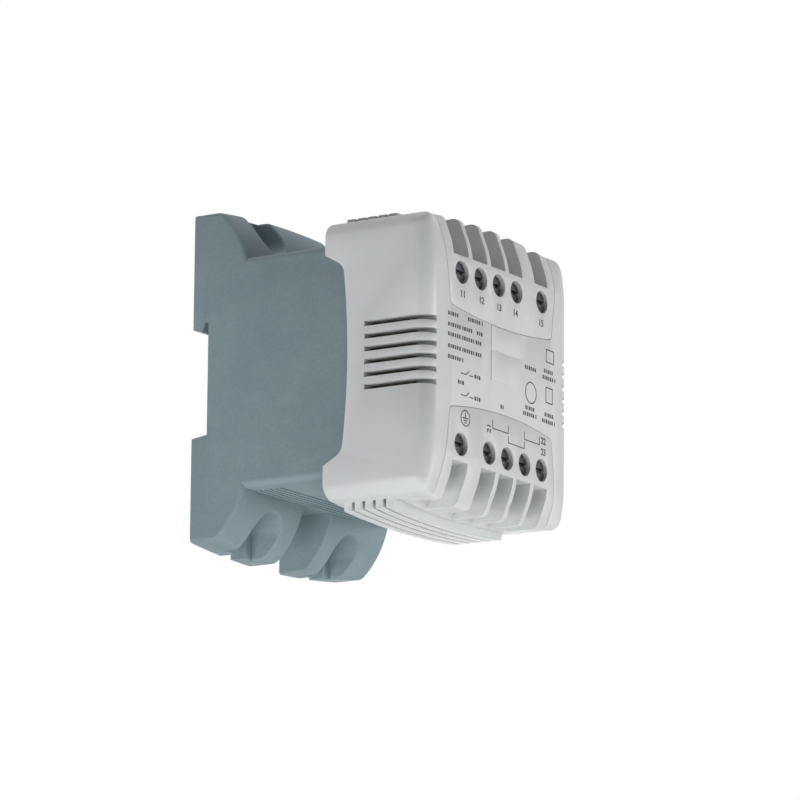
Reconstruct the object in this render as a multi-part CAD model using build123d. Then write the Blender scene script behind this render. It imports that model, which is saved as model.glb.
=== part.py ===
from build123d import *
import os

os.makedirs("parts", exist_ok=True)

# All sizes are in millimetres. The origin is the centre of the rail slot on
# the rear plane: X to the right seen from the front, Z up, front towards -Y.

# Rail and rear housing
RAIL_H = 35.0
RAIL_PLAY = 0.5
RAIL_SLOT_H = RAIL_H + RAIL_PLAY
RAIL_SLOT_D = 6.0
HOOK_LIP_D = 3.6
HOOK_LIP_DROP = 0.9
HOOK_GROOVE_TOP_D = 4.7
HOOK_GROOVE_H = 2.2
LOWER_LIP_DROP = 0.95
MID_Z = 1.8
HOUSING_W = 87.4
EAR_TOP = 57.4
EAR_BOW = 2.7
EAR_FLAT = 10.2
EAR_ROOT = 20.5
EAR_KNEE_Y = 17.1
EAR_KNEE_DROP = 8.1
EAR_BASE_DROP = 16.4
EAR_NOSE_R = 4.0
EAR_SIDE_R = 1.4
BODY_HALF = 38.4
REAR_WALL = 3.0
BODY_WALL = 2.6
BODY_EDGE_R = 2.5

# Fixing wells and slots in the two flanges
WELL_X = 23.2
WELL_SET = 7.0
WELL_R = 7.1
WELL_FLOOR = 5.4
SCREW_SLOT_R = 2.9
WELL_RIM_R = 1.0
NOTCH_W = 16.4
NOTCH_RIM_R = 1.0

# Core-outs on the rear face
POCKET_W = 20.0
POCKET_PITCH = 26.0
POCKET_D = 5.5
POCKET_MARGIN = 4.5

# Ribbed band under the body
BAND_COUNT = 5
BAND_PITCH = 2.1
BAND_SET = 1.6
BAND_RIB = 1.0
BAND_H = 0.45
BAND_W = 74.0

# Front cover
COVER_W = 88.4
COVER_SIDE_H = 93.0
COVER_BOW = 3.0
COVER_CORNER_R = 6.2
COVER_EDGE_R = 5.8
COVER_WALL = 2.2
COVER_REAR = 52.0
COVER_WAIST = 61.0
WAIST_TOP = 30.7
WAIST_LIFT = 4.0
WAIST_BOW = 1.9
WAIST_R = 5.0
FRONT_Y = 92.6
FRONT_BOW = 1.3
CROWN_ROOT = 29.2
CROWN_R = 48.0
RIM_GAP = 0.3
RIM_WALL = 1.6
RIM_FRONT = 66.0
SHOULDER_SET = 2.5
SHOULDER_T = 2.5

# Ventilation
VENT_COUNT = 6
VENT_PITCH = 4.17
VENT_H = 1.8
VENT_REAR = 67.4
VENT_WRAP = 5.4
VENT_PAD_SET = 0.6
VENT_PAD_EDGE = 1.7
VENT_BLIND = 8.6
VENT_BACK_T = 1.2
GRILLE_COUNT = 5
GRILLE_PITCH = 4.0
GRILLE_REAR = 56.5
GRILLE_BAR = 2.9
GRILLE_H = 1.4
GRILLE_W = 72.0

# Two blank label pads on the front
LABEL_X = 2.1
LABEL_W = 19.2
LABEL_GAP = 0.2
LABEL_SPLIT = 6.0
LABEL_LOW = -4.1
LABEL_BAR = 0.6
LABEL_RISE = 0.25

# Terminal blocks
PITCH = 11.0
UPPER_STEPS = (-2.25, -1.25, -0.25, 0.75, 2.25)
LOWER_STEPS = (-2.25, -0.75, 0.25, 1.25, 2.25)
ZONE_W = 68.8
ZONE_FOOT_W = 62.4
ZONE_FLARE = 38.0
ZONE_BASE = 14.2
ZONE_SAG = 2.5
ZONE_R = 1.6
ZONE_FIT = 0.2
SEAT_LAP = 2.0
BLOCK_T = 17.8
TROUGH_W = 8.8
TROUGH_D = 11.8
TROUGH_SWEEP = 4.6
LEDGE_OVER_HOLE = 5.55
HOLE_Z = 28.3
HOLE_R = 3.8

# Terminal hardware
HEAD_SET = 3.6
HEAD_R = 3.3
HEAD_T = 2.2
HEAD_SLOT_W = 1.1
HEAD_SLOT_D = 1.1
SHANK_R = 2.0
SHANK_L = 5.0
CAGE_W = 7.4
CAGE_H = 9.4
CAGE_D = 8.2
CAGE_FRONT_T = 1.8
CAGE_BACK_T = 1.2
CAGE_SIDE_T = 1.0
CAGE_PLAY = 0.1
MOUTH_W = 5.2
MOUTH_D = 4.0
TAB_W = 5.0
TAB_T = 1.0
TAB_DROP = 0.6
TAB_SET = 22.8

# Transformer core and coil
CORE_SIDE_GAP = 1.1
CORE_END_GAP = 3.3
COIL_GAP = 1.0
COIL_SIDE_GAP = 0.3
COIL_FRONT_GAP = 1.6
FLANGE_OVERHANG = 12.2
FLANGE_T = 1.4
TUBE_FIT = 0.2
TUBE_T = 1.2
BOBBIN_PLAY = 0.3
WINDING_SET = 1.5
WRAP_T = 0.5
WINDING_R = 6.0
BOLT_R = 2.0
BOLT_FIT = 0.1
BOLT_HEAD_R = 3.5
BOLT_HEAD_T = 2.8
WASHER_R = 4.5
WASHER_T = 0.8
POST = 9.0
BOLT_GRIP = 10.0
LEAD_R = 0.9
LEAD_DROP = 2.8
LEAD_SET = 4.4
LEAD_BEND_R = 1.5
STRAP_W = 6.0

# Values that follow from the sizes above
FAR = 150.0
CAVITY_X = COVER_W / 2 - COVER_WALL - RIM_GAP - RIM_WALL
CAVITY_Z = BODY_HALF - BODY_WALL
CAVITY_REAR = RAIL_SLOT_D + REAR_WALL
RAIL_Z = -MID_Z
WELL_Z = EAR_TOP - WELL_SET
UPPER_X = [s * PITCH for s in UPPER_STEPS]
LOWER_X = [s * PITCH for s in LOWER_STEPS]
BLOCK_REAR = FRONT_Y - BLOCK_T
TROUGH_FLOOR = FRONT_Y - TROUGH_D
LEDGE = HOLE_Z + LEDGE_OVER_HOLE
LABEL_TOP = ZONE_BASE - LABEL_GAP
HEAD_SEAT = FRONT_Y - HEAD_SET
CAGE_REAR = HEAD_SEAT - CAGE_D
TAB_TAIL_Z = HOLE_Z - CAGE_H / 2 - TAB_T - TAB_DROP
TAB_END = FRONT_Y - TAB_SET
COIL_FRONT = TAB_END - COIL_FRONT_GAP
LEAD_Y = COIL_FRONT - LEAD_SET
STACK_REAR = CAVITY_REAR + COIL_GAP + FLANGE_OVERHANG
STACK_FRONT = COIL_FRONT - FLANGE_OVERHANG
STACK_T = STACK_FRONT - STACK_REAR
COIL_Y = (STACK_REAR + STACK_FRONT) / 2
LEG = (CAVITY_X - CORE_SIDE_GAP) / 3
CORE_W = 6 * LEG
FLANGE_X = 2 * LEG - COIL_SIDE_GAP
WINDOW_H = 2 * (TAB_TAIL_Z - LEAD_DROP + BOBBIN_PLAY)
YOKE = CAVITY_Z - CORE_END_GAP - WINDOW_H / 2
BOLT_X = CORE_W / 2 - LEG / 2
BOLT_Z = WINDOW_H / 2 + YOKE / 2


def block(x0, x1, y0, y1, z0, z1):
    """Box between limits, with y0 and y1 as depths in front of the rear plane."""
    low = (min(x0, x1), -max(y0, y1), min(z0, z1))
    size = (abs(x1 - x0), abs(y1 - y0), abs(z1 - z0))
    return Pos(*low) * Box(*size, align=(Align.MIN, Align.MIN, Align.MIN))


def rod(x, z, radius, y0, y1):
    """Cylinder along the depth between two depths."""
    start = Plane((x, -min(y0, y1), z), x_dir=(1, 0, 0), z_dir=(0, -1, 0))
    return extrude(start * Circle(radius), abs(y1 - y0))


def envelope(inset, rear, edge_r):
    """Bowed cover shape: inset measures inwards from the outer skin."""
    a = COVER_W / 2 - inset
    h = COVER_SIDE_H / 2 - inset
    top = h + COVER_BOW
    rim = ThreePointArc((-a, h), (0, top), (a, h)) + Line((a, h), (a, -h))
    rim += ThreePointArc((a, -h), (0, -top), (-a, -h)) + Line((-a, -h), (-a, h))
    outline = make_face(rim)
    outline = fillet(outline.vertices(), COVER_CORNER_R - inset / 2)
    solid = extrude(Plane((0, -rear, 0), x_dir=(1, 0, 0), z_dir=(0, -1, 0)) * outline, FRONT_Y)
    face_y = -FRONT_Y + inset
    crown_r = CROWN_R - inset
    reach = COVER_SIDE_H / 2 + COVER_BOW + COVER_EDGE_R
    rise = reach - CROWN_ROOT
    far_y = face_y + crown_r - (crown_r ** 2 - rise ** 2) ** 0.5
    side = Line((face_y, -CROWN_ROOT), (face_y, CROWN_ROOT))
    side += TangentArc((face_y, CROWN_ROOT), (far_y, reach), tangent=(0, 1))
    side += Polyline((far_y, reach), (0, reach), (0, -reach), (far_y, -reach))
    side += TangentArc((face_y, -CROWN_ROOT), (far_y, -reach), tangent=(0, -1))
    side = make_face(Plane.YZ * side)
    bow_r = (COVER_W / 2) ** 2 / (2 * FRONT_BOW)
    axis = Axis((0, face_y + bow_r, 0), (0, 0, 1))
    swing = 9
    front = revolve(side.rotate(axis, -swing / 2), axis, swing)
    solid = solid & front
    faces = [f for f in solid.faces() if f.normal_at(f.center()).Y < -0.9]
    seen = [e for f in faces for e in f.edges()]
    loop = [e for e in seen if sum(e.is_same(o) for o in seen) == 1]
    return solid.fillet(edge_r, loop)


def waist_cut():
    """Side profile of the recess in the rear edge of the cover's two sides."""
    lift = WAIST_TOP + WAIST_LIFT
    end_y = WAIST_BOW - COVER_WAIST
    line = ThreePointArc((end_y, -WAIST_TOP), (-COVER_WAIST, 0), (end_y, WAIST_TOP))
    line += Polyline((end_y, WAIST_TOP), (-COVER_REAR, lift), (0, lift), (0, -lift), (-COVER_REAR, -lift),
                     (end_y, -WAIST_TOP))
    side = make_face(Plane.YZ * line)
    corners = [v for v in side.vertices() if abs(v.Y - end_y) < 0.01]
    return extrude(fillet(corners, WAIST_R), FAR, both=True)


def ear(sign):
    """Rounded flange at one end of the housing, bowed along its width, with two screw wells."""
    half = HOUSING_W / 2
    root = (-EAR_ROOT, EAR_TOP - EAR_BASE_DROP)
    knee = (-EAR_KNEE_Y, EAR_TOP - EAR_KNEE_DROP)
    shelf = (-EAR_FLAT, EAR_TOP)
    line = Polyline(root, (-EAR_ROOT, 0), (0, 0), (0, EAR_TOP), shelf) + ThreePointArc(shelf, knee, root)
    side = make_face(Plane.YZ * line)
    nose = [v for v in side.vertices() if v.Z > EAR_TOP - 0.01 and v.Y < 0.01 - EAR_FLAT]
    side = fillet(nose, EAR_NOSE_R)
    bow_r = half ** 2 / (2 * EAR_BOW)
    axis = Axis((0, 0, EAR_TOP - bow_r), (0, 1, 0))
    swing = 18
    solid = revolve(side.rotate(axis, -swing / 2), axis, swing) & block(-half, half, -1, FAR, 0, FAR)
    ends = [e for e in solid.edges() if abs(abs(e.center().X) - half) < 0.01 and e.center().Y < -0.05]
    solid = solid.fillet(EAR_SIDE_R, [e for e in ends if e.center().Z > 0.01])
    for x in (-WELL_X, WELL_X):
        for r, floor in ((WELL_R, WELL_FLOOR), (SCREW_SLOT_R, -1)):
            solid -= rod(x, WELL_Z, r, floor, FAR) + block(x - r, x + r, floor, FAR, WELL_Z, FAR)
    curved = [e for e in solid.edges() if e.geom_type != GeomType.LINE]
    rims = [e for e in curved if e.bounding_box().max.Y < -WELL_FLOOR]
    rims = [e for e in rims if abs(abs(e.center().X) - WELL_X) < WELL_R + 0.01]
    solid = solid.fillet(WELL_RIM_R, rims)
    if sign > 0:
        return solid
    solid -= block(-NOTCH_W / 2, NOTCH_W / 2, -1, FAR, BODY_HALF, FAR)
    walls = [e for e in solid.edges() if abs(abs(e.center().X) - NOTCH_W / 2) < 0.01]
    walls = [e for e in walls if e.center().Y < -0.05 and e.center().Z > BODY_HALF + 0.01]
    solid = solid.fillet(NOTCH_RIM_R, walls)
    return mirror(solid, Plane.XY)


def rear_housing():
    """One moulding: rail flange, two rounded ears, body and the rim inside the cover."""
    half = HOUSING_W / 2
    body = block(-half, half, 0, COVER_WAIST, -BODY_HALF, BODY_HALF)
    body = fillet(body.edges().filter_by(Axis.Y), BODY_EDGE_R)
    body += ear(1)
    body += ear(-1)
    for i in range(BAND_COUNT):
        y = EAR_ROOT + BAND_SET + i * BAND_PITCH
        body += block(-BAND_W / 2, BAND_W / 2, y - BAND_RIB / 2, y + BAND_RIB / 2, -BODY_HALF - BAND_H, 0)
    body -= skin
    rim_set = COVER_WALL + RIM_GAP
    inside = envelope(rim_set, COVER_REAR - SHOULDER_SET, COVER_EDGE_R - COVER_WALL)
    shoulder_y = COVER_REAR + SHOULDER_SET
    rim = inside & block(-FAR, FAR, COVER_REAR - SHOULDER_SET, RIM_FRONT, -BODY_HALF, BODY_HALF)
    body += rim
    body += inside & block(-FAR, FAR, shoulder_y, shoulder_y + SHOULDER_T, -FAR, FAR)
    body -= block(-CAVITY_X, CAVITY_X, CAVITY_REAR, FAR, -CAVITY_Z, CAVITY_Z)
    for sx in (-1, 1):
        for sz in (-1, 1):
            x = sx * BOLT_X
            z = sz * BOLT_Z
            post = block(x - POST / 2, x + POST / 2, CAVITY_REAR - 1, STACK_REAR, z - POST / 2, z + POST / 2)
            body += post - rod(x, z, BOLT_R, STACK_REAR - BOLT_GRIP, FAR)
    slot_half = RAIL_SLOT_H / 2
    groove_z = slot_half + HOOK_GROOVE_H
    rail = make_face(Plane.YZ * Polyline(
        (1, slot_half), (0, slot_half), (-HOOK_LIP_D, slot_half - HOOK_LIP_DROP),
        (-HOOK_GROOVE_TOP_D, groove_z), (-RAIL_SLOT_D, groove_z), (-RAIL_SLOT_D, -slot_half),
        (0, -slot_half - LOWER_LIP_DROP), (1, -slot_half - LOWER_LIP_DROP), close=True))
    body -= Pos(0, 0, RAIL_Z) * extrude(rail, FAR, both=True)
    pocket_low = RAIL_SLOT_H / 2 + POCKET_MARGIN
    for i in (-1, 0, 1):
        x0 = i * POCKET_PITCH - POCKET_W / 2
        x1 = x0 + POCKET_W
        body -= block(x0, x1, -1, POCKET_D, RAIL_Z + pocket_low, BODY_HALF)
        body -= block(x0, x1, -1, POCKET_D, RAIL_Z - pocket_low, POCKET_MARGIN - BODY_HALF)
    return body


def zone(sign, margin, rear):
    """Prism over one terminal zone, grown sideways and inwards by a margin."""
    low = ZONE_BASE - margin
    corner = low + ZONE_SAG
    foot = ZONE_FOOT_W / 2 + margin
    half = ZONE_W / 2 + margin
    line = ThreePointArc((-foot, corner), (0, low), (foot, corner))
    line += Polyline((foot, corner), (half, ZONE_FLARE), (half, FAR), (-half, FAR), (-half, ZONE_FLARE),
                     (-foot, corner))
    face = make_face(line)
    face = fillet([v for v in face.vertices() if abs(v.Y - corner) < 0.01], ZONE_R)
    prism = extrude(Plane((0, -rear, 0), x_dir=(1, 0, 0), z_dir=(0, -1, 0)) * face, FAR)
    return prism if sign > 0 else mirror(prism, Plane.XY)


def front_cover():
    """Light cap with bowed faces, wrapped side vents, grilles and two terminal openings."""
    shell = skin
    bars = envelope(-GRILLE_H, COVER_REAR, COVER_EDGE_R)
    for i in range(GRILLE_COUNT):
        y = GRILLE_REAR + i * GRILLE_PITCH
        bar = block(-GRILLE_W / 2, GRILLE_W / 2, y - GRILLE_BAR / 2, y + GRILLE_BAR / 2, -FAR, FAR)
        shell += bars & bar
    shell -= lining
    for i in range(GRILLE_COUNT - 1):
        y0 = GRILLE_REAR + i * GRILLE_PITCH + GRILLE_BAR / 2
        y1 = y0 + GRILLE_PITCH - GRILLE_BAR
        shell -= block(-GRILLE_W / 2, GRILLE_W / 2, y0, y1, -FAR, FAR)
    wrap_x = COVER_W / 2 - VENT_WRAP
    field = (VENT_COUNT - 1) / 2 * VENT_PITCH
    pad_z = field + VENT_H / 2 + VENT_PAD_EDGE
    pad = block(wrap_x, FAR, RIM_FRONT + VENT_PAD_SET, FAR, -pad_z, pad_z)
    pad += block(wrap_x - VENT_BACK_T, FAR, FRONT_Y - VENT_BLIND, FAR, -pad_z, pad_z)
    for i in range(VENT_COUNT):
        z = i * VENT_PITCH - field
        pad -= block(wrap_x, FAR, VENT_REAR, FAR, z - VENT_H / 2, z + VENT_H / 2)
        for sx in (-1, 1):
            shell -= block(sx * wrap_x, sx * FAR, VENT_REAR, FAR, z - VENT_H / 2, z + VENT_H / 2)
    pad = pad & lining
    shell += pad
    shell += mirror(pad, Plane.YZ)
    for sign in (-1, 1):
        shell -= zone(sign, 0, BLOCK_REAR)
    raised = envelope(-LABEL_RISE, COVER_REAR, COVER_EDGE_R)
    left = LABEL_X - LABEL_W / 2
    for low, high in ((LABEL_LOW, LABEL_SPLIT - LABEL_BAR / 2), (LABEL_SPLIT + LABEL_BAR / 2, LABEL_TOP)):
        shell += (raised & block(left, left + LABEL_W, TROUGH_FLOOR, FAR, low, high)) - lining
    return shell


def trough(x, sign):
    """Room for one wire: its floor starts upright at the ledge and sweeps rearwards to the end face."""
    end = COVER_SIDE_H / 2 + COVER_BOW
    start = (-TROUGH_FLOOR, LEDGE)
    mouth = (TROUGH_SWEEP - TROUGH_FLOOR, end)
    line = TangentArc(start, mouth, tangent=(0, 1))
    line += Polyline(mouth, (mouth[0], FAR), (-FAR, FAR), (-FAR, LEDGE), start)
    solid = Pos(x, 0, 0) * extrude(make_face(Plane.YZ * line), TROUGH_W / 2, both=True)
    return solid if sign > 0 else mirror(solid, Plane.XY)


def terminal_block(sign, places):
    """Moulding that fills one opening: wire troughs, screw holes and clamp pockets."""
    body = skin & zone(sign, -ZONE_FIT, BLOCK_REAR + ZONE_FIT)
    body += lining & zone(sign, SEAT_LAP, BLOCK_REAR + ZONE_FIT)
    pocket = CAGE_H / 2 + CAGE_PLAY
    wide = CAGE_W / 2 + CAGE_PLAY
    mouth_y = HEAD_SEAT - CAGE_FRONT_T
    tail = TAB_W / 2 + CAGE_PLAY
    tail_y = CAGE_REAR + CAGE_BACK_T + TAB_T + CAGE_PLAY
    for x in places:
        z = sign * HOLE_Z
        body -= trough(x, sign)
        body -= rod(x, z, HOLE_R, HEAD_SEAT, FAR)
        body -= block(x - wide, x + wide, 0, HEAD_SEAT, z - pocket, z + pocket)
        body -= block(x - MOUTH_W / 2, x + MOUTH_W / 2, mouth_y - MOUTH_D, mouth_y, z, sign * (LEDGE + 1))
        body -= block(x - tail, x + tail, 0, tail_y, z, sign * (TAB_TAIL_Z - CAGE_PLAY))
    return body


def terminal_screw(x, z):
    """Slotted clamp screw, driven from the front."""
    head = rod(x, z, HEAD_R, HEAD_SEAT, HEAD_SEAT + HEAD_T)
    top = HEAD_SEAT + HEAD_T
    head -= block(x - FAR, x + FAR, top - HEAD_SLOT_D, FAR, z - HEAD_SLOT_W / 2, z + HEAD_SLOT_W / 2)
    return head + rod(x, z, SHANK_R, HEAD_SEAT - SHANK_L, HEAD_SEAT)


def wire_clamp(x, z):
    """Folded steel cage round the wire space."""
    cage = block(x - CAGE_W / 2, x + CAGE_W / 2, CAGE_REAR, HEAD_SEAT, z - CAGE_H / 2, z + CAGE_H / 2)
    inner = CAGE_W / 2 - CAGE_SIDE_T
    cage -= block(x - inner, x + inner, CAGE_REAR + CAGE_BACK_T, HEAD_SEAT - CAGE_FRONT_T, z - FAR, z + FAR)
    return cage - rod(x, z, SHANK_R, HEAD_SEAT - CAGE_FRONT_T - 1, HEAD_SEAT + 1)


def terminal_tab(x, sign):
    """Bent strip from the clamp to the lead behind the block."""
    left = x - TAB_W / 2
    right = x + TAB_W / 2
    y = CAGE_REAR + CAGE_BACK_T
    z_tail = sign * TAB_TAIL_Z
    foot = block(left, right, y, y + TAB_T, z_tail, sign * (HOLE_Z + CAGE_H / 2))
    return foot + block(left, right, TAB_END, y + TAB_T, z_tail, z_tail + sign * TAB_T)


def lead(x, sign, flange_z):
    """Insulated wire from a tab's tail to the coil flange."""
    z = sign * (TAB_TAIL_Z + TAB_T / 2)
    tip = (x, -TAB_END, z)
    path = FilletPolyline(tip, (x, -LEAD_Y, z), (x, -LEAD_Y, flange_z), radius=LEAD_BEND_R)
    return sweep(Plane(tip, x_dir=(1, 0, 0), z_dir=(0, 1, 0)) * Circle(LEAD_R), path=path)


def ring(half_x, half_y, corner_r, z0, z1):
    """Rounded rectangular prism round the coil axis."""
    face = Plane((0, -COIL_Y, z0)) * RectangleRounded(2 * half_x, 2 * half_y, corner_r)
    return extrude(face, z1 - z0)


def save(name, shape):
    """Lift a finished piece from mid-height zero to its place over the rail and write it."""
    export_step(Pos(0, 0, MID_Z) * shape, "parts/" + name + ".step")


skin = envelope(0, COVER_REAR, COVER_EDGE_R) - waist_cut()
lining = envelope(COVER_WALL, COVER_REAR - SHOULDER_SET, COVER_EDGE_R - COVER_WALL)

save("rear_housing", rear_housing())
save("front_cover", front_cover())
save("upper_terminal_block", terminal_block(1, UPPER_X))
save("lower_terminal_block", terminal_block(-1, LOWER_X))
for word, sign, places in (("upper", 1, UPPER_X), ("lower", -1, LOWER_X)):
    save(word + "_terminal_screws", Compound([terminal_screw(x, sign * HOLE_Z) for x in places]))
    save(word + "_wire_clamps", Compound([wire_clamp(x, sign * HOLE_Z) for x in places]))
    save(word + "_terminal_tabs", Compound([terminal_tab(x, sign) for x in places]))

# Core: E and I stacks with one bolt through each corner
core_end = WINDOW_H / 2 + YOKE
bolt_places = [(sx * BOLT_X, sz * BOLT_Z) for sx in (-1, 1) for sz in (-1, 1)]
e_stack = block(-CORE_W / 2, CORE_W / 2, STACK_REAR, STACK_FRONT, -core_end, WINDOW_H / 2)
for sx in (-1, 1):
    e_stack -= block(sx * LEG, sx * 2 * LEG, 0, FAR, -WINDOW_H / 2, FAR)
i_stack = block(-CORE_W / 2, CORE_W / 2, STACK_REAR, STACK_FRONT, WINDOW_H / 2, core_end)
for x, z in bolt_places:
    hole = rod(x, z, BOLT_R + BOLT_FIT, 0, FAR)
    e_stack -= hole
    i_stack -= hole
save("core_e_stack", e_stack)
save("core_i_stack", i_stack)

washer_y = STACK_FRONT + WASHER_T
bolt_top = washer_y + BOLT_HEAD_T
bolts = [rod(x, z, BOLT_R, STACK_REAR - BOLT_GRIP, washer_y) + rod(x, z, BOLT_HEAD_R, washer_y, bolt_top)
         for x, z in bolt_places]
save("core_bolts", Compound(bolts))
earth_x, earth_z = bolt_places[0]
washers = [rod(x, z, WASHER_R, STACK_FRONT, washer_y) - rod(x, z, BOLT_R, STACK_FRONT, washer_y)
           for x, z in bolt_places[1:]]
save("core_washers", Compound(washers))

# Earth strap from the first lower terminal to the core bolt below it
strap_left = LOWER_X[0] - STRAP_W / 2
strap_right = LOWER_X[0] + STRAP_W / 2
strap_z = -TAB_TAIL_Z - TAB_T
strap_low = earth_z - STRAP_W / 2
strap_eye = STRAP_W / 2
strap = block(earth_x - strap_eye, earth_x + strap_eye, STACK_FRONT, washer_y, strap_low, earth_z + strap_eye)
strap += block(earth_x, strap_right, STACK_FRONT, washer_y, strap_z, strap_low)
strap += block(strap_left, strap_right, STACK_FRONT, TAB_END, strap_z, -TAB_TAIL_Z)
save("earth_strap", strap - rod(earth_x, earth_z, BOLT_R, 0, FAR))

# Coil: one former with two chambers, the windings, their wraps and the leads
low = -WINDOW_H / 2
high = WINDOW_H / 2 - BOBBIN_PLAY
middle = (low + high) / 2
core_x = LEG + TUBE_FIT
core_y = STACK_T / 2 + TUBE_FIT
flange_y = STACK_T / 2 + FLANGE_OVERHANG
tube = ring(core_x + TUBE_T, core_y + TUBE_T, TUBE_T, low, high)
bobbin = tube
for z in (low, middle - FLANGE_T / 2, high - FLANGE_T):
    bobbin += ring(FLANGE_X, flange_y, WINDING_R, z, z + FLANGE_T)
bobbin -= block(-core_x, core_x, COIL_Y - core_y, COIL_Y + core_y, -FAR, FAR)
save("coil_bobbin", bobbin)
winding_x = FLANGE_X - WINDING_SET
winding_y = flange_y - WINDING_SET
chambers = (("secondary", low + FLANGE_T, middle - FLANGE_T / 2),
            ("primary", middle + FLANGE_T / 2, high - FLANGE_T))
for word, z0, z1 in chambers:
    wound = ring(winding_x, winding_y, WINDING_R, z0, z1)
    wrap = ring(winding_x + WRAP_T, winding_y + WRAP_T, WINDING_R + WRAP_T, z0, z1)
    save(word + "_winding", wound - tube)
    save(word + "_wrap", wrap - wound)
save("primary_leads", Compound([lead(x, 1, high) for x in UPPER_X]))
save("secondary_leads", Compound([lead(x, -1, low) for x in LOWER_X[1:]]))
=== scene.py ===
# %% [markdown]
# A control transformer in cells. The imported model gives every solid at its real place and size, in
# metres: X to the right, the front towards -Y, Z up, with the origin at the rail slot. This script
# rounds the edges that the eye meets first, gives each piece its finish, adds the print and lights it.

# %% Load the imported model
import bmesh
import bpy
import math
from mathutils import Matrix, Vector
from mathutils.bvhtree import BVHTree


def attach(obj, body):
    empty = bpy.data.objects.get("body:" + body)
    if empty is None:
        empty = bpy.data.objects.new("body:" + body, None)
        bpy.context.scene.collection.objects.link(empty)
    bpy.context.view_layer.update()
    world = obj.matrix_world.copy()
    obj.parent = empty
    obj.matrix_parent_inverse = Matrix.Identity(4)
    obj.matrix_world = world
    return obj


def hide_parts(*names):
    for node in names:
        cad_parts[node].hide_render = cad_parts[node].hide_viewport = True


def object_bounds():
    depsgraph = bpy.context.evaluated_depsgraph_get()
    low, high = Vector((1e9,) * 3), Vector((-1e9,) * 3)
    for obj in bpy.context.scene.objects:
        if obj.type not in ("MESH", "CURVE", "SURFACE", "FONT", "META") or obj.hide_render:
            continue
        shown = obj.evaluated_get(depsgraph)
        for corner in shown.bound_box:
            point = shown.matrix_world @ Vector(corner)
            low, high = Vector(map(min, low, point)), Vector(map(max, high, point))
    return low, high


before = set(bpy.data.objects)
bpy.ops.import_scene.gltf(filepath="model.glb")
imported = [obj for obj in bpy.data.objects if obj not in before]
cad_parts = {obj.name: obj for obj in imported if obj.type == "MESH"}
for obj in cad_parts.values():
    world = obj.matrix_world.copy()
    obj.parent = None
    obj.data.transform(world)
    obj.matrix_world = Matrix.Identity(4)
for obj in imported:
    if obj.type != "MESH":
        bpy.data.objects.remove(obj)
cad_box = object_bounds()
MM = 0.001
print("nodes:", len(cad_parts), "box in mm:", [round(v / MM, 1) for v in cad_box[1] - cad_box[0]])

# %% [markdown]
# The camera stands low to the left of the front and looks up, far away with a long lens, so that the
# upright edges stay upright. An orthographic camera could do that too, but the little perspective that
# a long lens leaves is what makes the two rows of terminals run together as they should.

# %% Camera
CAMERA_PLACE = (-1.38535, -0.94851, -0.35403)
CAMERA_TURN = math.radians(57.113)
CAMERA_LOOK_UP = math.radians(12.005)
CAMERA_ROLL = math.radians(0.492)
LENS_MM = 230.74
SENSOR_MM = 36
SEE_TO = 50

camera_data = bpy.data.cameras.new("camera")
camera_data.lens = LENS_MM
camera_data.sensor_width = SENSOR_MM
camera_data.clip_end = SEE_TO
camera = bpy.data.objects.new("camera", camera_data)
bpy.context.scene.collection.objects.link(camera)
turn = Matrix.Rotation(-CAMERA_TURN, 4, "Z") @ Matrix.Rotation(math.pi / 2 + CAMERA_LOOK_UP, 4, "X")
camera.matrix_world = Matrix.Translation(CAMERA_PLACE) @ turn @ Matrix.Rotation(CAMERA_ROLL, 4, "Z")
bpy.context.scene.camera = camera
print("camera at", [round(v, 3) for v in camera.location])

# %% [markdown]
# Every finish below is built from shader nodes. Three helpers keep the cells short: one turns a written
# sRGB colour into the linear numbers that the shaders calculate with, one adds a node with its settings
# and links in a single call, and one starts a material whose patterns lie on the object's own
# coordinates, so that a pattern of so many millimetres stays that size on every piece.

# %% Helpers for materials
def linear(hex_colour):
    """The linear RGBA of an sRGB colour written as hex."""
    parts = [int(hex_colour[i:i + 2], 16) / 255 for i in (1, 3, 5)]
    return [c / 12.92 if c <= 0.04045 else ((c + 0.055) / 1.055) ** 2.4 for c in parts] + [1.0]


def add(tree, kind, links=(), stops=(), **settings):
    """Add a node: stops colour a ramp; settings are attributes, or inputs by name with _ for a space."""
    node = tree.nodes.new(kind)
    for i, (position, tone) in enumerate(stops):
        node.color_ramp.elements[i].position = position
        node.color_ramp.elements[i].color = linear(tone)
    for key, value in settings.items():
        if hasattr(node, key):
            setattr(node, key, value)
        else:
            node.inputs[key.replace("_", " ")].default_value = value
    for socket, source in links:
        tree.links.new(source, node.inputs[socket])
    return node.outputs


def new_finish(name, roughness, metallic=0.0):
    """An empty material: its tree, its Principled shader's inputs and the piece's own coordinates."""
    made = bpy.data.materials.new(name)
    made.use_nodes = True
    tree = made.node_tree
    shader = tree.nodes["Principled BSDF"].inputs
    shader["Roughness"].default_value = roughness
    shader["Metallic"].default_value = metallic
    return made, tree, shader, add(tree, "ShaderNodeTexCoord")["Object"]


print("material helpers ready")

# %% [markdown]
# The rear housing is a mineral-filled polyamide, moulded matt. Filled resin never mixes evenly, so the
# real one is cloudy: pale drifts some 17 mm across, streaks where the melt flowed towards the front, and
# a fine speckle of filler at the skin. Three noises at those sizes give that. An image would look the
# same from one side only; noise fills the whole solid. The speckle also breaks the roughness.

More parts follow.
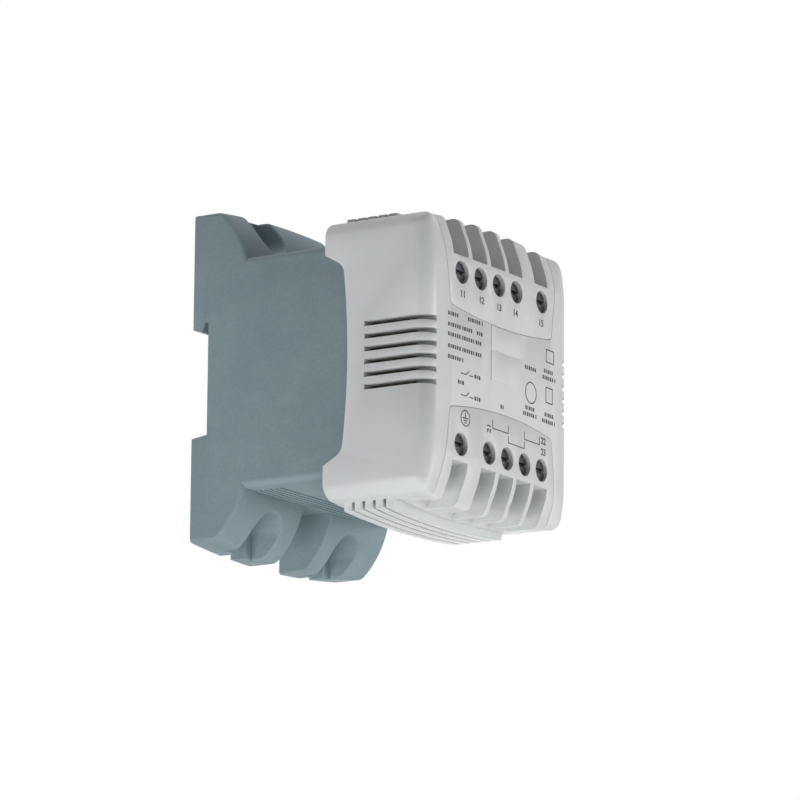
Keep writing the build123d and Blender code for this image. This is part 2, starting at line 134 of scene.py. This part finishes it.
# %% Filled polyamide, moulded matt, for the housing
# The Mix node has sockets for every kind of value; these are the ones for two colours and their mixture.
COLOUR_A, COLOUR_B, COLOUR_OUT = 6, 7, 2
housing_finish, tree, shader, place = new_finish("filled_polyamide_matt", 0.62)
drift = add(tree, "ShaderNodeTexNoise", [("Vector", place)], Scale=1 / (17 * MM), Detail=4.0)["Fac"]
along = add(tree, "ShaderNodeMapping", [("Vector", place)], Scale=(1.0, 0.35, 1.0))[0]
flow = add(tree, "ShaderNodeTexNoise", [("Vector", along)], Scale=1 / (7 * MM), Detail=3.0)["Fac"]
speckle = add(tree, "ShaderNodeTexNoise", [("Vector", place)], Scale=1 / (0.9 * MM))["Fac"]
cloud = add(tree, "ShaderNodeValToRGB", [("Fac", drift)], ((0.3, "#6F8289"), (0.7, "#819399")))["Color"]
streak = add(tree, "ShaderNodeValToRGB", [("Fac", flow)], ((0.35, "#73868C"), (0.72, "#7F9198")))["Color"]
dots = add(tree, "ShaderNodeValToRGB", [("Fac", speckle)], ((0.28, "#6B7E86"), (0.74, "#8A9CA2")))["Color"]
mixed = add(tree, "ShaderNodeMix", [(COLOUR_A, cloud), (COLOUR_B, streak)],
            data_type="RGBA", Factor=0.45)[COLOUR_OUT]
mixed = add(tree, "ShaderNodeMix", [(COLOUR_A, mixed), (COLOUR_B, dots)],
            data_type="RGBA", Factor=0.28)[COLOUR_OUT]
tree.links.new(mixed, shader["Base Color"])
rough = add(tree, "ShaderNodeMapRange", [("Value", speckle)], To_Min=0.55, To_Max=0.70)[0]
tree.links.new(rough, shader["Roughness"])
tilt = add(tree, "ShaderNodeBump", [("Height", speckle)], Strength=1.0, Distance=0.03 * MM)["Normal"]
tree.links.new(tilt, shader["Normal"])
print("finish:", housing_finish.name)

# %% [markdown]
# The cover and the two terminal mouldings are unfilled polycarbonate, an even light grey with the satin
# of a spark-eroded mould. The eye sees hardly any colour change in it, only a soft broken highlight, so
# the noise works on the roughness and the bump far more than on the colour. The real grain is finer than
# the picture can show, so it is drawn at half a millimetre.

# %% Polycarbonate, moulded satin, for the cover and the terminal mouldings
def satin_polycarbonate(name, shade, light, rough_low, rough_high):
    """Even plastic with a spark-eroded skin."""
    made, tree, shader, place = new_finish(name, rough_high)
    drift = add(tree, "ShaderNodeTexNoise", [("Vector", place)], Scale=1 / (24 * MM), Detail=3.0)["Fac"]
    grain = add(tree, "ShaderNodeTexNoise", [("Vector", place)], Scale=1 / (0.5 * MM))["Fac"]
    tone = add(tree, "ShaderNodeValToRGB", [("Fac", drift)], ((0.3, shade), (0.7, light)))["Color"]
    tree.links.new(tone, shader["Base Color"])
    rough = add(tree, "ShaderNodeMapRange", [("Value", grain)], To_Min=rough_low, To_Max=rough_high)[0]
    tree.links.new(rough, shader["Roughness"])
    tilt = add(tree, "ShaderNodeBump", [("Height", grain)], Strength=1.0, Distance=0.006 * MM)["Normal"]
    tree.links.new(tilt, shader["Normal"])
    return made


cover_finish = satin_polycarbonate("polycarbonate_satin", "#C7CACB", "#CDCFD0", 0.36, 0.48)
terminal_finish = satin_polycarbonate("polycarbonate_satin_terminals", "#C6C9C9", "#CCCECE", 0.38, 0.50)
print("finishes:", cover_finish.name, terminal_finish.name)

# %% [markdown]
# Metal shows the tool that made it. The screw heads are turned steel with a fine mottle, and their dark
# tone is a painted dark reflection, standing in for the dark surroundings that they mirror; the cages,
# bolts and washers are zinc plated, a bright grey with a soft crystal pattern; the tabs and the strap are
# rolled brass strip with lines along the rolling; the core is a stack of punched sheets, which shows as
# fine bands, drawn 1 mm apart so that they can be seen. Pictures of metal could be laid on, but each of
# these is one simple pattern, and a noise or a wave makes it at any size.

# %% Metals
screw_dark_reflection_finish, tree, shader, place = new_finish("steel_turned_painted_dark_reflection", 0.4, 1.0)
mottle = add(tree, "ShaderNodeTexNoise", [("Vector", place)], Scale=1 / (1.1 * MM), Detail=3.0)["Fac"]
# Painted dark reflection: this dark base tone stands in for the dark surroundings that the heads mirror.
tone = add(tree, "ShaderNodeValToRGB", [("Fac", mottle)], ((0.3, "#34373A"), (0.7, "#484B4D")))["Color"]
tree.links.new(tone, shader["Base Color"])
rough = add(tree, "ShaderNodeMapRange", [("Value", mottle)], To_Min=0.34, To_Max=0.5)[0]
tree.links.new(rough, shader["Roughness"])

zinc_finish, tree, shader, place = new_finish("steel_zinc_plated", 0.35, 1.0)
crystal = add(tree, "ShaderNodeTexNoise", [("Vector", place)], Scale=1 / (1.6 * MM), Detail=3.0)["Fac"]
tone = add(tree, "ShaderNodeValToRGB", [("Fac", crystal)], ((0.3, "#8F9496"), (0.7, "#B7BABA")))["Color"]
tree.links.new(tone, shader["Base Color"])
rough = add(tree, "ShaderNodeMapRange", [("Value", crystal)], To_Min=0.26, To_Max=0.44)[0]
tree.links.new(rough, shader["Roughness"])

brass_finish, tree, shader, place = new_finish("brass_rolled_strip", 0.3, 1.0)
along = add(tree, "ShaderNodeMapping", [("Vector", place)], Scale=(1.0, 0.08, 0.08))[0]
rolled = add(tree, "ShaderNodeTexNoise", [("Vector", along)], Scale=1 / (0.6 * MM))["Fac"]
tone = add(tree, "ShaderNodeValToRGB", [("Fac", rolled)], ((0.3, "#B08D4A"), (0.7, "#D2B26C")))["Color"]
tree.links.new(tone, shader["Base Color"])
tilt = add(tree, "ShaderNodeBump", [("Height", rolled)], Strength=1.0, Distance=0.01 * MM)["Normal"]
tree.links.new(tilt, shader["Normal"])

# A wave texture with a scale of 1 repeats every 2 pi / 20 units.
WAVE_PERIOD = 2 * math.pi / 20
sheet_finish, tree, shader, place = new_finish("electrical_sheet_stacked", 0.5, 0.8)
sheets = add(tree, "ShaderNodeTexWave", [("Vector", place)], bands_direction="Y",
             Scale=WAVE_PERIOD / (1.0 * MM))["Fac"]
tone = add(tree, "ShaderNodeValToRGB", [("Fac", sheets)], ((0.2, "#2E3033"), (0.6, "#63666A")))["Color"]
tree.links.new(tone, shader["Base Color"])
tilt = add(tree, "ShaderNodeBump", [("Height", sheets)], Strength=1.0, Distance=0.06 * MM)["Normal"]
tree.links.new(tilt, shader["Normal"])
print("metals:", [m.name for m in (screw_dark_reflection_finish, zinc_finish, brass_finish, sheet_finish)])

# %% [markdown]
# Inside the cover, hardly seen through the vents, sits the coil: a nylon former, two copper windings
# whose turns lie side by side, a lapped polyester tape round each, and plastic-sleeved leads. Every turn
# of wire could be modelled, but that is thousands of faces in the dark. A wave with a bump gives the same
# ridges; the turns are drawn 0.8 mm apart, coarser than real ones, so that they can be seen.

# %% Coil materials
nylon_finish, tree, shader, place = new_finish("nylon_natural_moulded", 0.5)
drift = add(tree, "ShaderNodeTexNoise", [("Vector", place)], Scale=1 / (9 * MM), Detail=3.0)["Fac"]
tone = add(tree, "ShaderNodeValToRGB", [("Fac", drift)], ((0.3, "#D6D2C2"), (0.7, "#E2DFD2")))["Color"]
tree.links.new(tone, shader["Base Color"])

copper_finish, tree, shader, place = new_finish("copper_enamelled_wire", 0.28, 0.9)
turns = add(tree, "ShaderNodeTexWave", [("Vector", place)], bands_direction="Z",
            Scale=WAVE_PERIOD / (0.8 * MM))["Fac"]
tone = add(tree, "ShaderNodeValToRGB", [("Fac", turns)], ((0.15, "#6E3A1B"), (0.6, "#B5683A")))["Color"]
tree.links.new(tone, shader["Base Color"])
tilt = add(tree, "ShaderNodeBump", [("Height", turns)], Strength=1.0, Distance=0.12 * MM)["Normal"]
tree.links.new(tilt, shader["Normal"])

tape_finish, tree, shader, place = new_finish("polyester_tape_lapped", 0.22)
laps = add(tree, "ShaderNodeTexWave", [("Vector", place)], bands_direction="Z",
           Scale=WAVE_PERIOD / (6.0 * MM), Distortion=0.4)["Fac"]
tone = add(tree, "ShaderNodeValToRGB", [("Fac", laps)], ((0.4, "#C9AE4E"), (0.6, "#DCC66E")))["Color"]
tree.links.new(tone, shader["Base Color"])
tilt = add(tree, "ShaderNodeBump", [("Height", laps)], Strength=1.0, Distance=0.05 * MM)["Normal"]
tree.links.new(tilt, shader["Normal"])

sleeve_finish, tree, shader, place = new_finish("wire_sleeve_extruded", 0.45)
along = add(tree, "ShaderNodeMapping", [("Vector", place)], Scale=(1.0, 0.2, 0.2))[0]
drawn = add(tree, "ShaderNodeTexNoise", [("Vector", along)], Scale=1 / (1.2 * MM))["Fac"]
tone = add(tree, "ShaderNodeValToRGB", [("Fac", drawn)], ((0.3, "#1C1D20"), (0.7, "#2B2C30")))["Color"]
tree.links.new(tone, shader["Base Color"])
print("coil finishes ready")

# %% [markdown]
# The pieces inside keep the CAD's own meshes: their edges are never seen from near by, so they need a
# finish and nothing more. Each could be given its material in a line of its own. One table from finish to
# pieces is shorter, and shows at a glance what is made of what. Whatever material came with a mesh is
# taken off first, so that only the new one is left.

# %% Give the hidden pieces their finish
FINISH_OF = {
    zinc_finish: ("upper_wire_clamps", "lower_wire_clamps", "core_bolts", "core_washers"),
    brass_finish: ("upper_terminal_tabs", "lower_terminal_tabs", "earth_strap"),
    sheet_finish: ("core_e_stack", "core_i_stack"),
    nylon_finish: ("coil_bobbin",),
    copper_finish: ("primary_winding", "secondary_winding"),
    tape_finish: ("primary_wrap", "secondary_wrap"),
    sleeve_finish: ("primary_leads", "secondary_leads"),
}
for finish, names in FINISH_OF.items():
    for name in names:
        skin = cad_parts[name].data
        skin.materials.clear()
        skin.materials.append(finish)
print("hidden pieces finished:", sum(len(names) for names in FINISH_OF.values()))

# %% [markdown]
# The cover's two ends are the one place where the solids are not quite right. On the real one the end
# faces sit 1 to 2 mm nearer to the middle, the edge towards the front is tighter, the two columns beside
# the terminals are more upright than the fins between them, and the bars of the grille stop short of the
# right end, those underneath standing out further. Cutting a new cover would be one way. Here a copy
# keeps all its faces and only its points move. How far depends on how deep a point lies behind the front
# and under the end face, so cover, terminal mouldings and fins bend together and their gaps stay.

# %% Fit the ends of the cover
# The solids as they are: half the width, the bowed front and its crown, the bowed end faces.
MID_Z_MM, HALF_W_MM = 1.8, 44.2
FRONT_MM, FRONT_BOW_MM = 92.6, 1.3
CROWN_FROM_MM, CROWN_R_MM = 29.2, 48.0
END_MM, END_BOW_MM = 49.5, 3.0
# Ends brought in: how far, between which heights it sets in, and how much less at the sides.
TOP_DROP_MM, FOOT_DROP_MM = 1.2, 1.75
DROP_RUN_MM, DROP_LESS = (36, 46.5), 0.13
# A tighter edge: points within this run of front and end are pushed out and forward.
EDGE_RUN_MM, EDGE_GAIN = 4.2, 3.3
EDGE_OUT_MM, EDGE_FORWARD_MM = 0.54, 0.38
# Fins lean back, columns outside the seam lose part of the crown; both fade out behind the front.
LEAN_MM, LEAN_RUN_MM, FADE_RUN_MM = 0.5, (30, 46), (12, 30)
COLUMN_RUN_MM, COLUMN_SHARE = (33.0, 42.0), 0.42
# Grille bars: where they lie, where they end, and how much further the lower ones stand out.
BAR_ROWS_MM, BAR_HALF_MM, BAR_ROOT_MM = (54.9, 74.1), 36.05, 5
BAR_END_MM, BAR_RIGHT_MM, FOOT_BAR_STRETCH = 36, 29.45, 2.4 / 1.4


def ease(run, value):
    """Rise smoothly from 0 to 1 over a run between two values."""
    share = min(1, max(0, (value - run[0]) / (run[1] - run[0])))
    return share * share * (3 - 2 * share)


def fitted(point):
    """Where a point of the cover, of a terminal moulding or of the rim goes."""
    x, deep, high = point.x / MM, -point.y / MM, point.z / MM - MID_Z_MM
    up = abs(high)
    across = (x / HALF_W_MM) ** 2
    over_root = max(0, up - CROWN_FROM_MM)
    crown = CROWN_R_MM - (CROWN_R_MM ** 2 - over_root ** 2) ** 0.5
    behind = FRONT_MM - FRONT_BOW_MM * across - crown - deep
    below = END_MM - END_BOW_MM * across - up

    drop = TOP_DROP_MM if high > 0 else FOOT_DROP_MM
    new_up = up - drop * (1 - DROP_LESS * across) * ease(DROP_RUN_MM, up)
    column = ease(COLUMN_RUN_MM, abs(x))
    if abs(x) < BAR_HALF_MM and BAR_ROWS_MM[0] < deep < BAR_ROWS_MM[1] and below < BAR_ROOT_MM:
        x = min(x, x * BAR_RIGHT_MM / BAR_END_MM)
        across = (x / HALF_W_MM) ** 2
        stand = -below * FOOT_BAR_STRETCH if below < 0 and high < 0 else -below
        new_up = END_MM - END_BOW_MM * across - drop * (1 - DROP_LESS * across) + stand

    corner = max(0, 1 - max(0, behind) / EDGE_RUN_MM) * max(0, 1 - max(0, below) / EDGE_RUN_MM)
    push = min(1, EDGE_GAIN * corner ** 2)
    lean = LEAN_MM * ease(LEAN_RUN_MM, up) * (1 - column) - COLUMN_SHARE * crown * column
    deep += push * EDGE_FORWARD_MM - lean * (1 - ease(FADE_RUN_MM, behind))
    return Vector((x, -deep, math.copysign(new_up + push * EDGE_OUT_MM, high) + MID_Z_MM)) * MM


print("ends brought in by", TOP_DROP_MM, "and", FOOT_DROP_MM, "mm; bars end at", BAR_RIGHT_MM, "mm")

# %% [markdown]
# A moulding has no knife edges: each corner of the tool leaves a small radius, and that radius is what
# catches the light. The CAD solids carry the large rounds. For the small ones, a copy of the node's mesh
# has its doubled points merged, so that faces share edges again, and a Bevel modifier then rounds every
# edge that turns by more than 30 degrees. The copy stands for the node, in the same place. Of the housing
# only the rim inside the cover is fitted, so that it stays clear of the ends.

# %% Mouldings with rounded edges
MERGE_MM = 0.001
FLAT_ANGLE = math.radians(0.4)
SHARP_ANGLE = math.radians(30)
HOUSING_EDGE_MM, EDGE_MM = 0.35, 0.3
RIM_FROM_MM = 53.0


def rounded_copy(node, name, radius_mm, finish, fit_from=0.0):
    """A merged copy of a CAD node, fitted in front of a depth, with its sharp edges rounded."""
    shape = bmesh.new()
    shape.from_mesh(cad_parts[node].data)
    bmesh.ops.remove_doubles(shape, verts=shape.verts, dist=MERGE_MM * MM)
    bmesh.ops.dissolve_limit(shape, angle_limit=FLAT_ANGLE, verts=shape.verts, edges=shape.edges)
    for point in shape.verts:
        if point.co.y < -fit_from * MM:
            point.co = fitted(point.co)
    mesh = bpy.data.meshes.new(name)
    shape.to_mesh(mesh)
    shape.free()
    mesh.materials.append(finish)
    mesh.shade_smooth()
    piece = bpy.data.objects.new(name, mesh)
    bpy.context.scene.collection.objects.link(piece)
    edge = piece.modifiers.new("edge_radius", "BEVEL")
    edge.width = radius_mm * MM
    edge.segments = 2
    edge.limit_method = "ANGLE"
    edge.angle_limit = SHARP_ANGLE
    edge.harden_normals = True
    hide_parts(node)
    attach(piece, "root")
    print(name, "faces:", len(mesh.polygons))
    return mesh


rounded_copy("rear_housing", "housing_moulding", HOUSING_EDGE_MM, housing_finish,
             fit_from=RIM_FROM_MM)
front_skins = [
    rounded_copy(node, name, EDGE_MM, finish)
    for node, name, finish in (("front_cover", "cover_moulding", cover_finish),
                               ("upper_terminal_block", "upper_terminal_moulding", terminal_finish),
                               ("lower_terminal_block", "lower_terminal_moulding", terminal_finish))]
rounded_copy("upper_terminal_screws", "upper_clamp_screws", EDGE_MM, screw_dark_reflection_finish)
rounded_copy("lower_terminal_screws", "lower_clamp_screws", EDGE_MM, screw_dark_reflection_finish)

# %% [markdown]
# The marks on the front are pad printed: a soft pad lifts a film of dark ink and rolls it on to the bowed
# face. They could be painted by a texture, but a mark of its own keeps a sharp edge from near by and goes
# with the model to other programs. Each mark starts flat, in millimetres across and up the front. A ray
# from every point then runs back to the face, and the point is set down a hair before what it meets.

# %% Ink, and the face it lies on
ink_finish, tree, shader, place = new_finish("pad_print_ink", 0.55)
cover_of_ink = add(tree, "ShaderNodeTexNoise", [("Vector", place)], Scale=1 / (0.6 * MM))["Fac"]
tone = add(tree, "ShaderNodeValToRGB", [("Fac", cover_of_ink)],
           ((0.3, "#232527"), (0.7, "#323436")))["Color"]
tree.links.new(tone, shader["Base Color"])

INK_GAP_MM = 0.01
INK_MM = 0.03
face = bmesh.new()
for skin in front_skins:
    face.from_mesh(skin)
front = BVHTree.FromBMesh(face)
face.free()


def press(shape, name):
    """Set flat marks down on the front as an ink film, and make them a piece."""
    for point in shape.verts:
        start = Vector((point.co.x * MM, 2 * cad_box[0][1], point.co.y * MM))
        met = front.ray_cast(start, Vector((0, 1, 0)))[0]
        point.co = met - Vector((0, INK_GAP_MM * MM, 0))
    mesh = bpy.data.meshes.new(name)
    shape.to_mesh(mesh)
    shape.free()
    mesh.materials.append(ink_finish)
    piece = bpy.data.objects.new(name, mesh)
    bpy.context.scene.collection.objects.link(piece)
    film = piece.modifiers.new("film", "SOLIDIFY")
    film.thickness = INK_MM * MM
    film.offset = 1
    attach(piece, "root")
    print(name, "faces:", len(mesh.polygons))


print("ink ready")

# %% [markdown]
# A stroke is a narrow grid, scaled and turned into place. It is cut every 2 mm, because a long flat
# strip would sink into a bowed face in its middle. Rows of upright dashes, in five widths with a wider
# gap now and then, have the grey of a line of print from a step away, and near by they say nothing.

# %% Rows of dashes, and the wiring marks
CUT_MM = 2


def stroke(shape, start, end, width):
    """A straight mark between two points, with square ends that stand over by half its width."""
    run = Vector(end) - Vector(start)
    middle = (Vector(start) + Vector(end)) / 2
    made = bmesh.ops.create_grid(shape, x_segments=1 + int(run.length / CUT_MM), y_segments=1, size=0.5)
    place = Matrix.Translation((middle.x, middle.y, 0)) @ Matrix.Rotation(math.atan2(run.y, run.x), 4, "Z")
    place = place @ Matrix.Diagonal((run.length + width, width, 1, 1))
    bmesh.ops.transform(shape, matrix=place, verts=made["verts"])


# Each row: its height, its left end and its right end.
ROWS = ((15.3, -32.6, -26.4), (15.3, -21.3, -11.8), (11.7, -32.6, -18.4), (11.7, -16.1, -12.5),
        (8.5, -32.6, -12.5), (4.6, -32.5, -12.9), (1.1, -32.5, -22.9), (-2.9, -17.3, -13.3),
        (-6.3, -26.8, -22.8), (-10.1, -17.2, -13.2), (-10.0, -1.6, 1.7), (6.2, 13.7, 21.0),
        (7.3, 26.3, 32.6), (5.05, 25.3, 34.2), (-7.25, 14.0, 20.3), (-9.4, 12.6, 21.6),
        (-7.35, 26.7, 32.9), (-9.6, 25.1, 34.2))
ROW_MM = 1.3
DASHES_MM = (0.9, 0.6, 1.0, 0.7, 0.8)
DASH_GAP_MM = 0.45
GROUP = 6
rows = bmesh.new()
for up, left, right in ROWS:
    at, count = left, 0
    while at + DASHES_MM[count % len(DASHES_MM)] <= right:
        wide = DASHES_MM[count % len(DASHES_MM)]
        half = (ROW_MM - wide) / 2
        stroke(rows, (at + wide / 2, up - half), (at + wide / 2, up + half), wide)
        count += 1
        at += wide + DASH_GAP_MM * (2 if count % GROUP == 0 else 1)
press(rows, "print_rows")

LINE_MM = 0.35
LINES = (((-25.1, -3.2), (-22.2, -3.2), (-20.5, -1.85)), ((-20.2, -3.2), (-18.2, -3.2)),
         ((-25.0, -10.25), (-22.1, -10.25), (-20.5, -8.9)), ((-20.1, -10.3), (-18.1, -10.3)),
         ((-6.3, -15.4), (-6.2, -18.0), (3.2, -18.1), (3.4, -15.7)),
         ((3.3, -19.1), (3.3, -21.1), (13.4, -21.3), (13.5, -19.1)),
         ((13.6, -15.75), (13.6, -18.2), (23.4, -18.2), (23.4, -15.65)))
lines = bmesh.new()
for corners in LINES:
    for start, end in zip(corners, corners[1:]):
        stroke(lines, start, end, LINE_MM)
press(lines, "print_lines")

# %% [markdown]
# Rings and frames are outlines: a filled circle or grid is inset by the line's width and its middle is
# taken out, which keeps the line equally wide all round. The earth mark by the first lower terminal is
# the common one, a ring round a stem on three bars.

# %% Rings, frames and the earth mark
def outline(shape, made, size, centre, width):
    """Scale a new unit shape, move it and leave only a border of that width."""
    verts = made["verts"]
    bmesh.ops.scale(shape, vec=(*size, 1), verts=verts)
    bmesh.ops.translate(shape, vec=(*centre, 0), verts=verts)
    middle = [f for f in shape.faces if all(v in verts for v in f.verts)]
    bmesh.ops.inset_region(shape, faces=middle, thickness=width, use_boundary=True, use_even_offset=True)
    bmesh.ops.delete(shape, geom=middle, context="FACES")


SYMBOL_MM = 0.4
RING_SIDES = 48
EARTH, EARTH_R, EARTH_STEM_MM = (-22.4, -17.6), 2.75, 1.8
EARTH_BARS = ((0.0, 1.35), (0.75, 0.85), (1.5, 0.35))
symbols = bmesh.new()
ring = bmesh.ops.create_circle(symbols, cap_ends=True, segments=RING_SIDES, radius=1)
outline(symbols, ring, (EARTH_R, EARTH_R), EARTH, SYMBOL_MM)
stroke(symbols, (EARTH[0], EARTH[1] + EARTH_STEM_MM), EARTH, SYMBOL_MM)
for drop, half in EARTH_BARS:
    stroke(symbols, (EARTH[0] - half, EARTH[1] - drop), (EARTH[0] + half, EARTH[1] - drop), SYMBOL_MM)
press(symbols, "print_earth_mark")

RING, RING_R = (17.6, -1.9), 3.7
FRAMES = (((4.7, 5.5), (29.75, -0.65)), ((5.4, 4.6), (30.3, 12.6)))
symbols = bmesh.new()
ring = bmesh.ops.create_circle(symbols, cap_ends=True, segments=RING_SIDES, radius=1)
outline(symbols, ring, (RING_R, RING_R), RING, SYMBOL_MM)
for size, centre in FRAMES:
    square = bmesh.ops.create_grid(symbols, x_segments=1, y_segments=1, size=0.5)
    outline(symbols, square, size, centre, SYMBOL_MM)
press(symbols, "print_frames")

# %% [markdown]
# The terminals carry plain numbers. Blender's text object makes the outline of each figure, is turned
# into a mesh at once and only then scaled and set in place, so that the ink's grain stays in step.

# %% Terminal numbers
# Each number: its text, its place across and up, and its turn in degrees.
NUMBERS = (("11", -24.25, 22.9, 0), ("12", -13.35, 22.9, 0), ("13", -2.75, 22.6, 0),
           ("14", 7.45, 22.8, 0), ("15", 24.2, 22.8, 0), ("21", -8.5, -18.4, 90),
           ("22", 25.95, -16.7, 0), ("23", 25.95, -20.4, 0))
NUMBER_MM = 2.6
FIGURE_WEIGHT = 0.022
numbers = bmesh.new()
for text, across, up, turned in NUMBERS:
    letters = bpy.data.curves.new("figures", "FONT")
    letters.body = text
    letters.offset = FIGURE_WEIGHT
    letters.align_x = "CENTER"
    letters.align_y = "CENTER"
    holder = bpy.data.objects.new("figures", letters)
    flat = bpy.data.meshes.new_from_object(holder)
    size = NUMBER_MM / max(p.co.y for p in flat.vertices) / 2
    flat.transform(Matrix.Translation((across, up, 0)) @ Matrix.Rotation(math.radians(turned), 4, "Z")
                   @ Matrix.Scale(size, 4))
    numbers.from_mesh(flat)
    bpy.data.objects.remove(holder)
    bpy.data.curves.remove(letters)
    bpy.data.meshes.remove(flat)
press(numbers, "print_numbers")

# %% [markdown]
# The light in the picture is soft and comes up from a bright table: the front and the underside are the
# lightest, the left side a little darker, and the deep wire ways are dark at their inner end and light at
# their mouth. A weak, even world gives the base. The front's lamp stands to the right, so that it leaves
# the walls of the wire ways that face left in shade; two soft boxes lie on the table, in front and to the
# left. One over the top and one behind on the right serve the sides that this picture does not show.

# %% Studio
AMBIENT = 0.2
LAMP_AIM = Vector((0, -0.05, 0))

world = bpy.data.worlds.new("studio")
bpy.context.scene.world = world
world.use_nodes = True
tree = world.node_tree
tree.nodes.clear()
rays = add(tree, "ShaderNodeLightPath")
seen = add(tree, "ShaderNodeMath", [(0, rays["Is Camera Ray"]), (1, rays["Is Glossy Ray"])],
           operation="MAXIMUM")[0]
seen = add(tree, "ShaderNodeMath", [(0, seen), (1, rays["Is Transmission Ray"])], operation="MAXIMUM")[0]
ambient = add(tree, "ShaderNodeBackground", Color=linear("#FFFFFF"), Strength=AMBIENT)[0]
backdrop = add(tree, "ShaderNodeBackground", Color=linear("#FFFFFF"), Strength=1.0)[0]
mixed = add(tree, "ShaderNodeMixShader", [(0, seen), (1, ambient), (2, backdrop)])[0]
add(tree, "ShaderNodeOutputWorld", [(0, mixed)])


def lamp(name, place, size, watts):
    """A square soft box at a place, turned to the middle of the object."""
    data = bpy.data.lights.new(name, "AREA")
    data.shape = "SQUARE"
    data.size = size
    data.energy = watts
    made = bpy.data.objects.new(name, data)
    bpy.context.scene.collection.objects.link(made)
    made.location = place
    made.rotation_euler = (LAMP_AIM - Vector(place)).to_track_quat("-Z", "Y").to_euler()
    made.visible_camera = False


lamp("front_right", (0.75, -1.25, -0.15), 0.7, 8.8)
lamp("table_front", (-0.1, -0.5, -0.56), 0.6, 2.3)
lamp("table_left", (-0.55, 0.05, -0.56), 0.6, 6.4)
lamp("over_top", (0.1, 0.15, 1.3), 0.8, 5)
lamp("behind_right", (1.2, 0.9, 0.2), 0.8, 7)
bpy.context.scene.view_settings.view_transform = "Standard"
print("studio lit")

# %% [markdown]
# The floor is a wide sheet of white paper, well below the object: this transformer hangs on a rail and is
# seen from below, so a floor at its foot would come between it and the lens. A square plane would do, but
# the edge of a round one looks the same from every side.

# %% Floor
FLOOR_Z = -0.6
FLOOR_R = 4.0
paper_finish, tree, shader, place = new_finish("paper_matt_white", 0.9)
fibre = add(tree, "ShaderNodeTexNoise", [("Vector", place)], Scale=1 / (3 * MM), Detail=3.0)["Fac"]
tone = add(tree, "ShaderNodeValToRGB", [("Fac", fibre)], ((0.3, "#EFEFEE"), (0.7, "#F4F4F3")))["Color"]
tree.links.new(tone, shader["Base Color"])
shape = bmesh.new()
bmesh.ops.create_circle(shape, cap_ends=True, segments=96, radius=FLOOR_R)
bmesh.ops.translate(shape, vec=(0, 0, FLOOR_Z), verts=shape.verts)
mesh = bpy.data.meshes.new("floor")
shape.to_mesh(mesh)
shape.free()
mesh.materials.append(paper_finish)
floor = bpy.data.objects.new("floor", mesh)
bpy.context.scene.collection.objects.link(floor)
print("floor at", FLOOR_Z)
